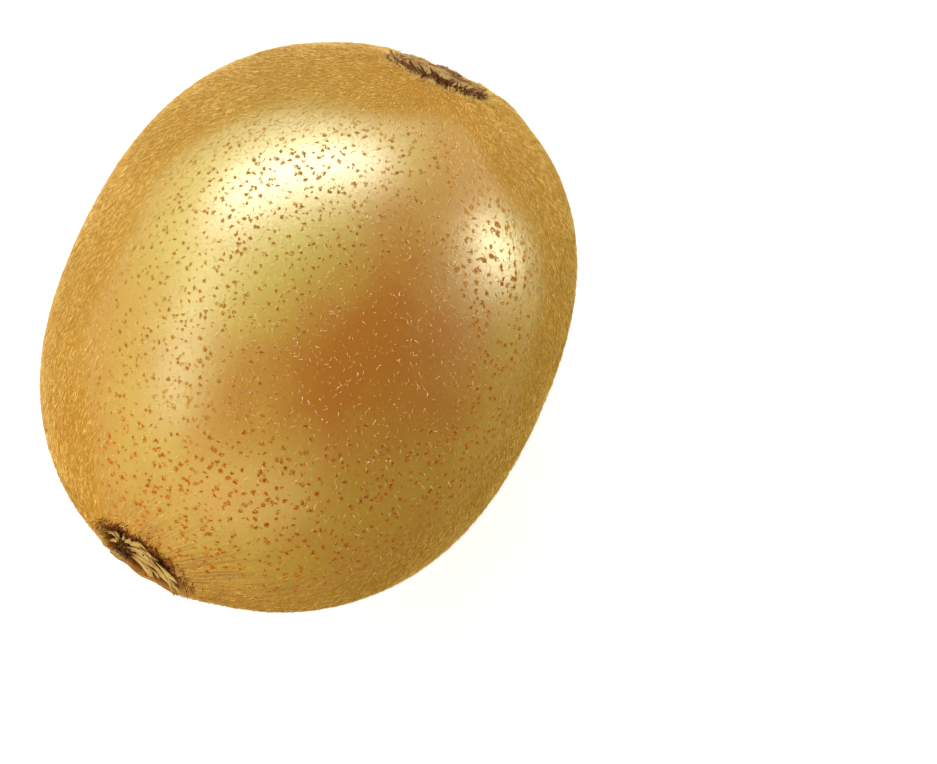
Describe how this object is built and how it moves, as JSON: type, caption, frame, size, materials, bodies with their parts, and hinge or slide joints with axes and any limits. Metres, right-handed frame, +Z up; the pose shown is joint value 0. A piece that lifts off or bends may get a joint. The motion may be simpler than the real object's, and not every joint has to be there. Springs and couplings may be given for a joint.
{
  "type": "golden kiwi fruit",
  "caption": "Whole golden kiwi fruit lying on its side, with a dried flower scar at one end and a stalk stub with dry sepals at the other.",
  "frame": {"origin": "on the surface that the fruit lies on, under the middle of its outline", "axes": "+Z up, +X along the fruit towards its blossom end, -X towards its stalk end, +Y across it"},
  "size_m": [0.0656, 0.0526, 0.0517],
  "materials": {
    "skin": "satin golden skin with fine fuzz",
    "stalk": "dry, dull, tan",
    "sepal": "dry, papery, straw-coloured",
    "papery": "dry, papery, grey-tan",
    "style": "dry, fibrous, dark brown"
  },
  "bodies": {
    "root": {"fruit": "skin", "stalk_stub": "stalk", "dry_calyx": "sepal", "dry_flower_base": "papery", "dry_styles": "style"}
  },
  "joints": []
}
